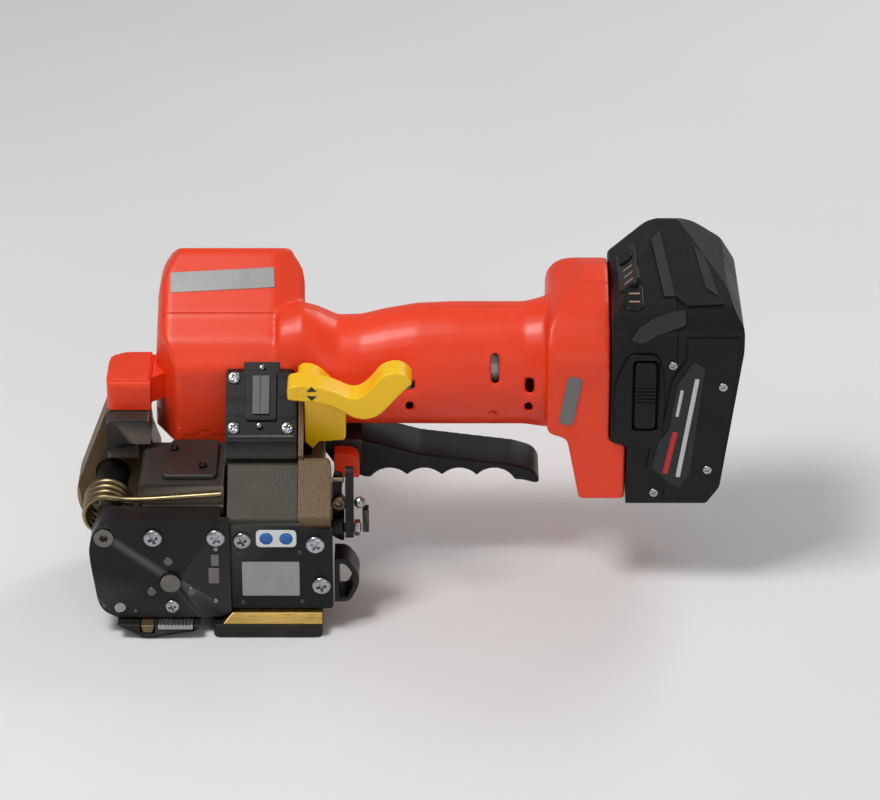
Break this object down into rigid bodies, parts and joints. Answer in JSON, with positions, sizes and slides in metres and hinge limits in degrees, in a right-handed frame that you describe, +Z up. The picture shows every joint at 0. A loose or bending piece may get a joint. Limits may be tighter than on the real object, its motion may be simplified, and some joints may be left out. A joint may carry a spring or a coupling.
{
  "type": "battery strapping tool",
  "caption": "Hand-held battery strapping tool: steel weld head and tension rocker in front, orange motor tower and handle, grip lever, yellow weld lever, slide-on battery.",
  "frame": {"origin": "underside of the base, between its two long edges, 60 mm behind its front edge", "axes": "+X along the handle towards the battery, -Y out of the side where the strap is put in, +Z up out of the base"},
  "size_m": [0.3352, 0.1404, 0.1734],
  "materials": {
    "orange_plastic": "satin moulded",
    "black_plastic": "fine grain",
    "grip_black": "satin",
    "yellow_plastic": "gloss",
    "black_metal": "black coated, satin",
    "cast_black": "black cast, fine texture",
    "bronze_cast": "brown anodised casting",
    "olive_metal": "olive black, streaked",
    "dark_steel": "oiled",
    "bright_steel": "zinc plated",
    "tool_steel": "ground",
    "brass_plate": "worn gold coating",
    "spring_wire": "bronze tinted",
    "silver_label": "satin foil",
    "motor_can": "satin",
    "board_green": "solder mask"
  },
  "bodies": {
    "frame": {"base_frame": "dark_steel", "wear_plate": "brass_plate", "tension_foot": "dark_steel", "gripper_plate": "tool_steel", "gripper_clamp": "bronze_cast", "main_casting": "cast_black", "arch_housing": "cast_black", "tension_gear_housing": "bronze_cast", "rocker_shaft": "tool_steel", "shaft_sleeve": "black_metal", "weld_block": "olive_metal", "weld_rib": "bronze_cast", "weld_front_plate": "black_metal", "name_cover": "black_metal", "name_panel": "black_metal", "name_strips": "silver_label", "lever_bracket": "yellow_plastic", "lever_pin": "tool_steel", "grip_lever_pin": "tool_steel", "grip_fork": "dark_steel", "pivot_cap": "orange_plastic", "link_boss": "dark_steel", "link_nut": "bright_steel", "strap_guide": "dark_steel", "housing_front": "orange_plastic", "housing_rear": "orange_plastic", "shoulder_cover": "orange_plastic", "tension_motor": "motor_can", "weld_motor": "motor_can", "control_board": "board_green", "terminal_rail": "black_plastic", "plate_screw_left": "bright_steel", "plate_screw_right": "bright_steel", "plate_screw_low": "bright_steel", "name_screw_top": "bright_steel", "name_screw_low_left": "bright_steel", "name_screw_low_right": "bright_steel"},
    "rocker": {"rocker_cover": "black_metal", "rocker_casting": "cast_black", "casting_lid": "cast_black", "torsion_spring": "spring_wire", "rocker_screw_left": "bright_steel", "rocker_screw_right": "bright_steel", "rocker_screw_low": "bright_steel"},
    "tension_wheel": {"tension_wheel": "tool_steel"},
    "grip": {"grip_lever": "grip_black"},
    "weld_lever": {"weld_lever": "yellow_plastic"},
    "weld_jaw": {"weld_jaw": "tool_steel"},
    "cutter": {"cutter_blade": "tool_steel"},
    "eccentric": {"eccentric_shaft": "tool_steel"},
    "link": {"link_arm": "dark_steel", "ball_stud": "bright_steel"},
    "battery": {"battery_body": "black_plastic", "battery_cap": "black_plastic", "cell_pack": "board_green"},
    "latch_front": {"battery_latch_front": "black_plastic"},
    "latch_rear": {"battery_latch_rear": "black_plastic"},
    "gauge_button": {"gauge_button": "black_plastic"},
    "tension_knob": {"tension_knob": "black_plastic"},
    "weld_time_knob": {"weld_time_knob": "black_plastic"}
  },
  "joints": [
    {"name": "grip_lever_squeeze", "type": "hinge", "parent": "frame", "child": "grip", "pos_m": [0.04, 0.03, 0.066], "axis": [0, -1, 0], "range_deg": [0, 11.5], "stiffness_Nm_per_rad": 1.2, "springref_deg": -14.32},
    {"name": "rocker_lift", "type": "hinge", "parent": "frame", "child": "rocker", "pos_m": [-0.0805, -0.03, 0.0548], "axis": [0, -1, 0], "range_deg": [0, 4]},
    {"name": "tension_wheel_spin", "type": "hinge", "parent": "rocker", "child": "tension_wheel", "pos_m": [-0.0482, -0.035, 0.0298], "axis": [0, 1, 0], "continuous": true},
    {"name": "weld_lever_press", "type": "hinge", "parent": "frame", "child": "weld_lever", "pos_m": [0.0178, -0.0165, 0.1182], "axis": [0, 1, 0], "range_deg": [0, 28], "stiffness_Nm_per_rad": 0.08, "springref_deg": -11.46},
    {"name": "weld_jaw_slide", "type": "slide", "parent": "frame", "child": "weld_jaw", "axis": [0, 0, -1], "range_m": [0, 0.0018]},
    {"name": "cutter_slide", "type": "slide", "parent": "frame", "child": "cutter", "axis": [0, 0, -1], "range_m": [0, 0.0025]},
    {"name": "eccentric_spin", "type": "hinge", "parent": "frame", "child": "eccentric", "pos_m": [-0.0025, -0.01, 0.047], "axis": [0, 1, 0], "continuous": true},
    {"name": "link_arm_swing", "type": "hinge", "parent": "frame", "child": "link", "pos_m": [0.0405, -0.035, 0.049], "axis": [1, 0, 0], "range_deg": [0, 8]},
    {"name": "battery_slide", "type": "slide", "parent": "frame", "child": "battery", "axis": [0, 0, 1], "range_m": [0, 0.105]},
    {"name": "battery_latch_front_press", "type": "slide", "parent": "battery", "child": "latch_front", "axis": [0, 1, 0], "range_m": [0, 0.003], "stiffness_N_per_m": 900, "springref_m": -0.002},
    {"name": "battery_latch_rear_press", "type": "slide", "parent": "battery", "child": "latch_rear", "axis": [0, -1, 0], "range_m": [0, 0.003], "stiffness_N_per_m": 900, "springref_m": -0.002},
    {"name": "gauge_button_press", "type": "slide", "parent": "battery", "child": "gauge_button", "axis": [0, 0, -1], "range_m": [0, 0.001], "stiffness_N_per_m": 400, "springref_m": -0.001},
    {"name": "tension_knob_turn", "type": "hinge", "parent": "frame", "child": "tension_knob", "pos_m": [-0.035, 0.075, 0.118], "axis": [0, 1, 0], "range_deg": [0, 270]},
    {"name": "weld_time_knob_turn", "type": "hinge", "parent": "frame", "child": "weld_time_knob", "pos_m": [-0.008, 0.075, 0.118], "axis": [0, 1, 0], "range_deg": [0, 270]}
  ],
  "couplings": [
    {"joint": "rocker_lift", "follows": "grip_lever_squeeze", "ratio": 0.347},
    {"joint": "weld_jaw_slide", "follows": "weld_lever_press", "m_per_rad": 0.0036},
    {"joint": "cutter_slide", "follows": "weld_lever_press", "m_per_rad": 0.005},
    {"joint": "link_arm_swing", "follows": "weld_lever_press", "ratio": 0.28}
  ]
}
